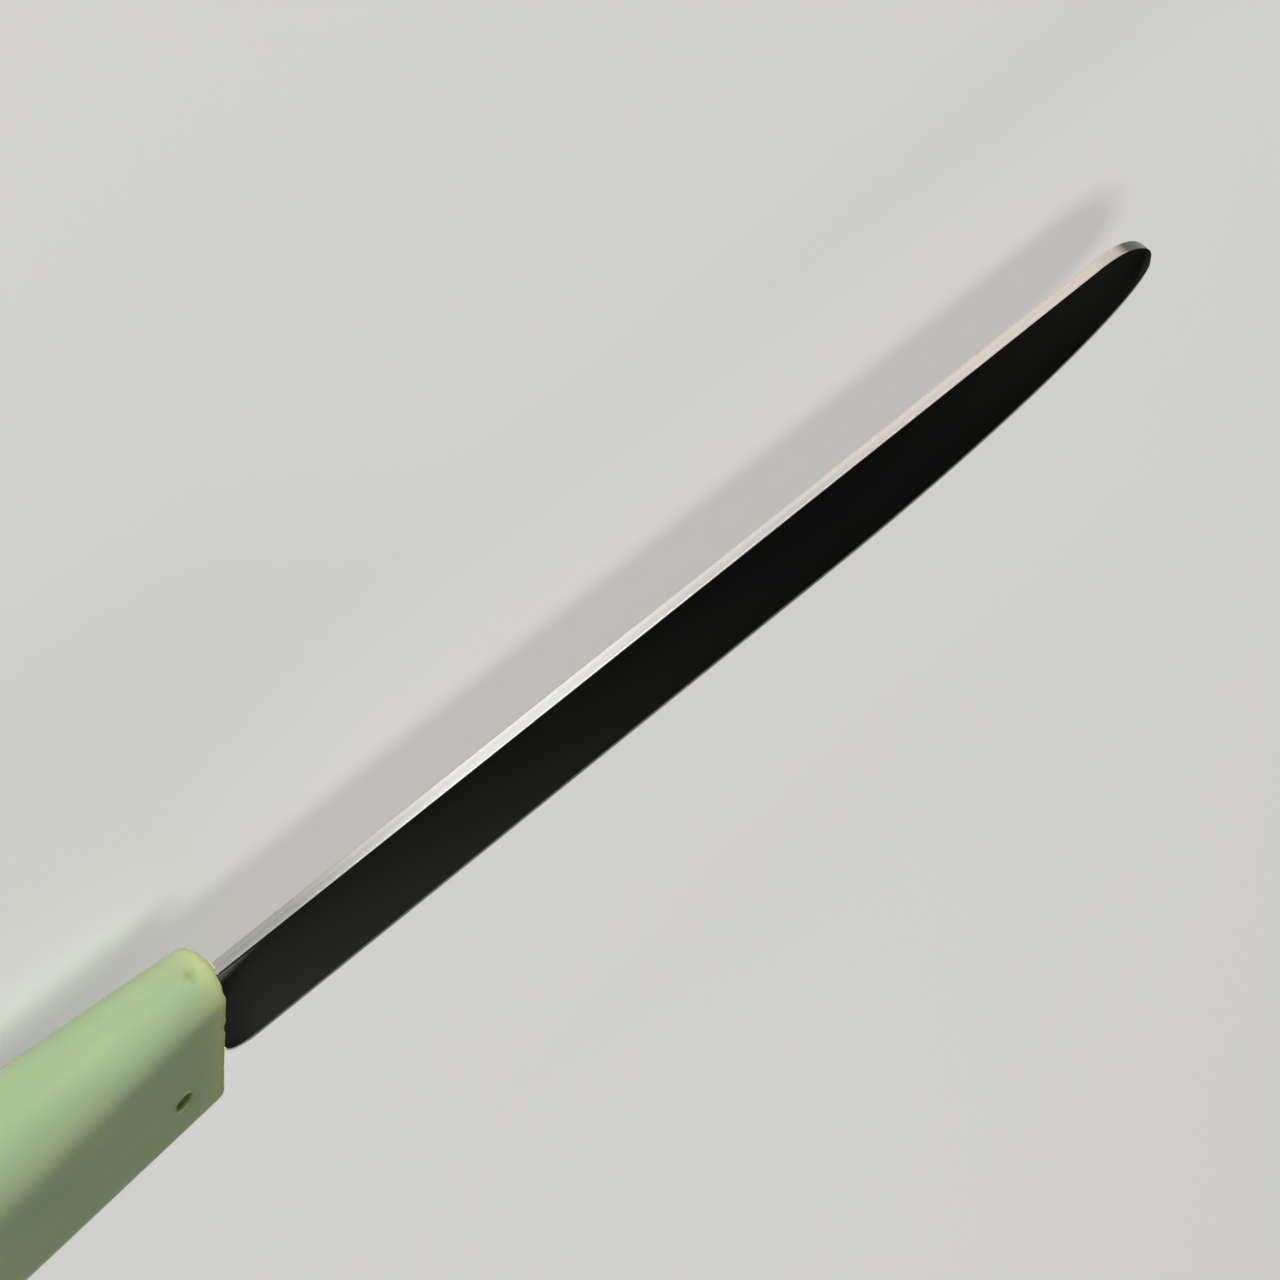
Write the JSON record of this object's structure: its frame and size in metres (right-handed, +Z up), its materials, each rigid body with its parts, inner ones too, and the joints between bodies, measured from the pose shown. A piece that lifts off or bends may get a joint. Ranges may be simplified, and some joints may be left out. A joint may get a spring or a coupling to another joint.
{
  "type": "table knife",
  "caption": "Round-ended table knife with a straight-backed polished steel blade and a tapered oblong pale green plastic handle, pinned and cemented on a hidden tang.",
  "frame": {"origin": "middle of the knife's footprint, on the surface that the handle's side lies on", "axes": "+X along the blade to the tip, +Y from the edge to the spine, +Z up, out of the side that is on top when the knife lies down"},
  "size_m": [0.2234, 0.0248, 0.0132],
  "materials": {
    "blade_steel": "polished sides, lengthwise brushed back",
    "handle_plastic": "satin, slightly translucent",
    "cement": "matt, crumbly",
    "pin_wire": "dull"
  },
  "bodies": {
    "root": {"blade": "blade_steel", "handle": "handle_plastic", "tang_cement": "cement", "tang_pin": "pin_wire"}
  },
  "joints": []
}
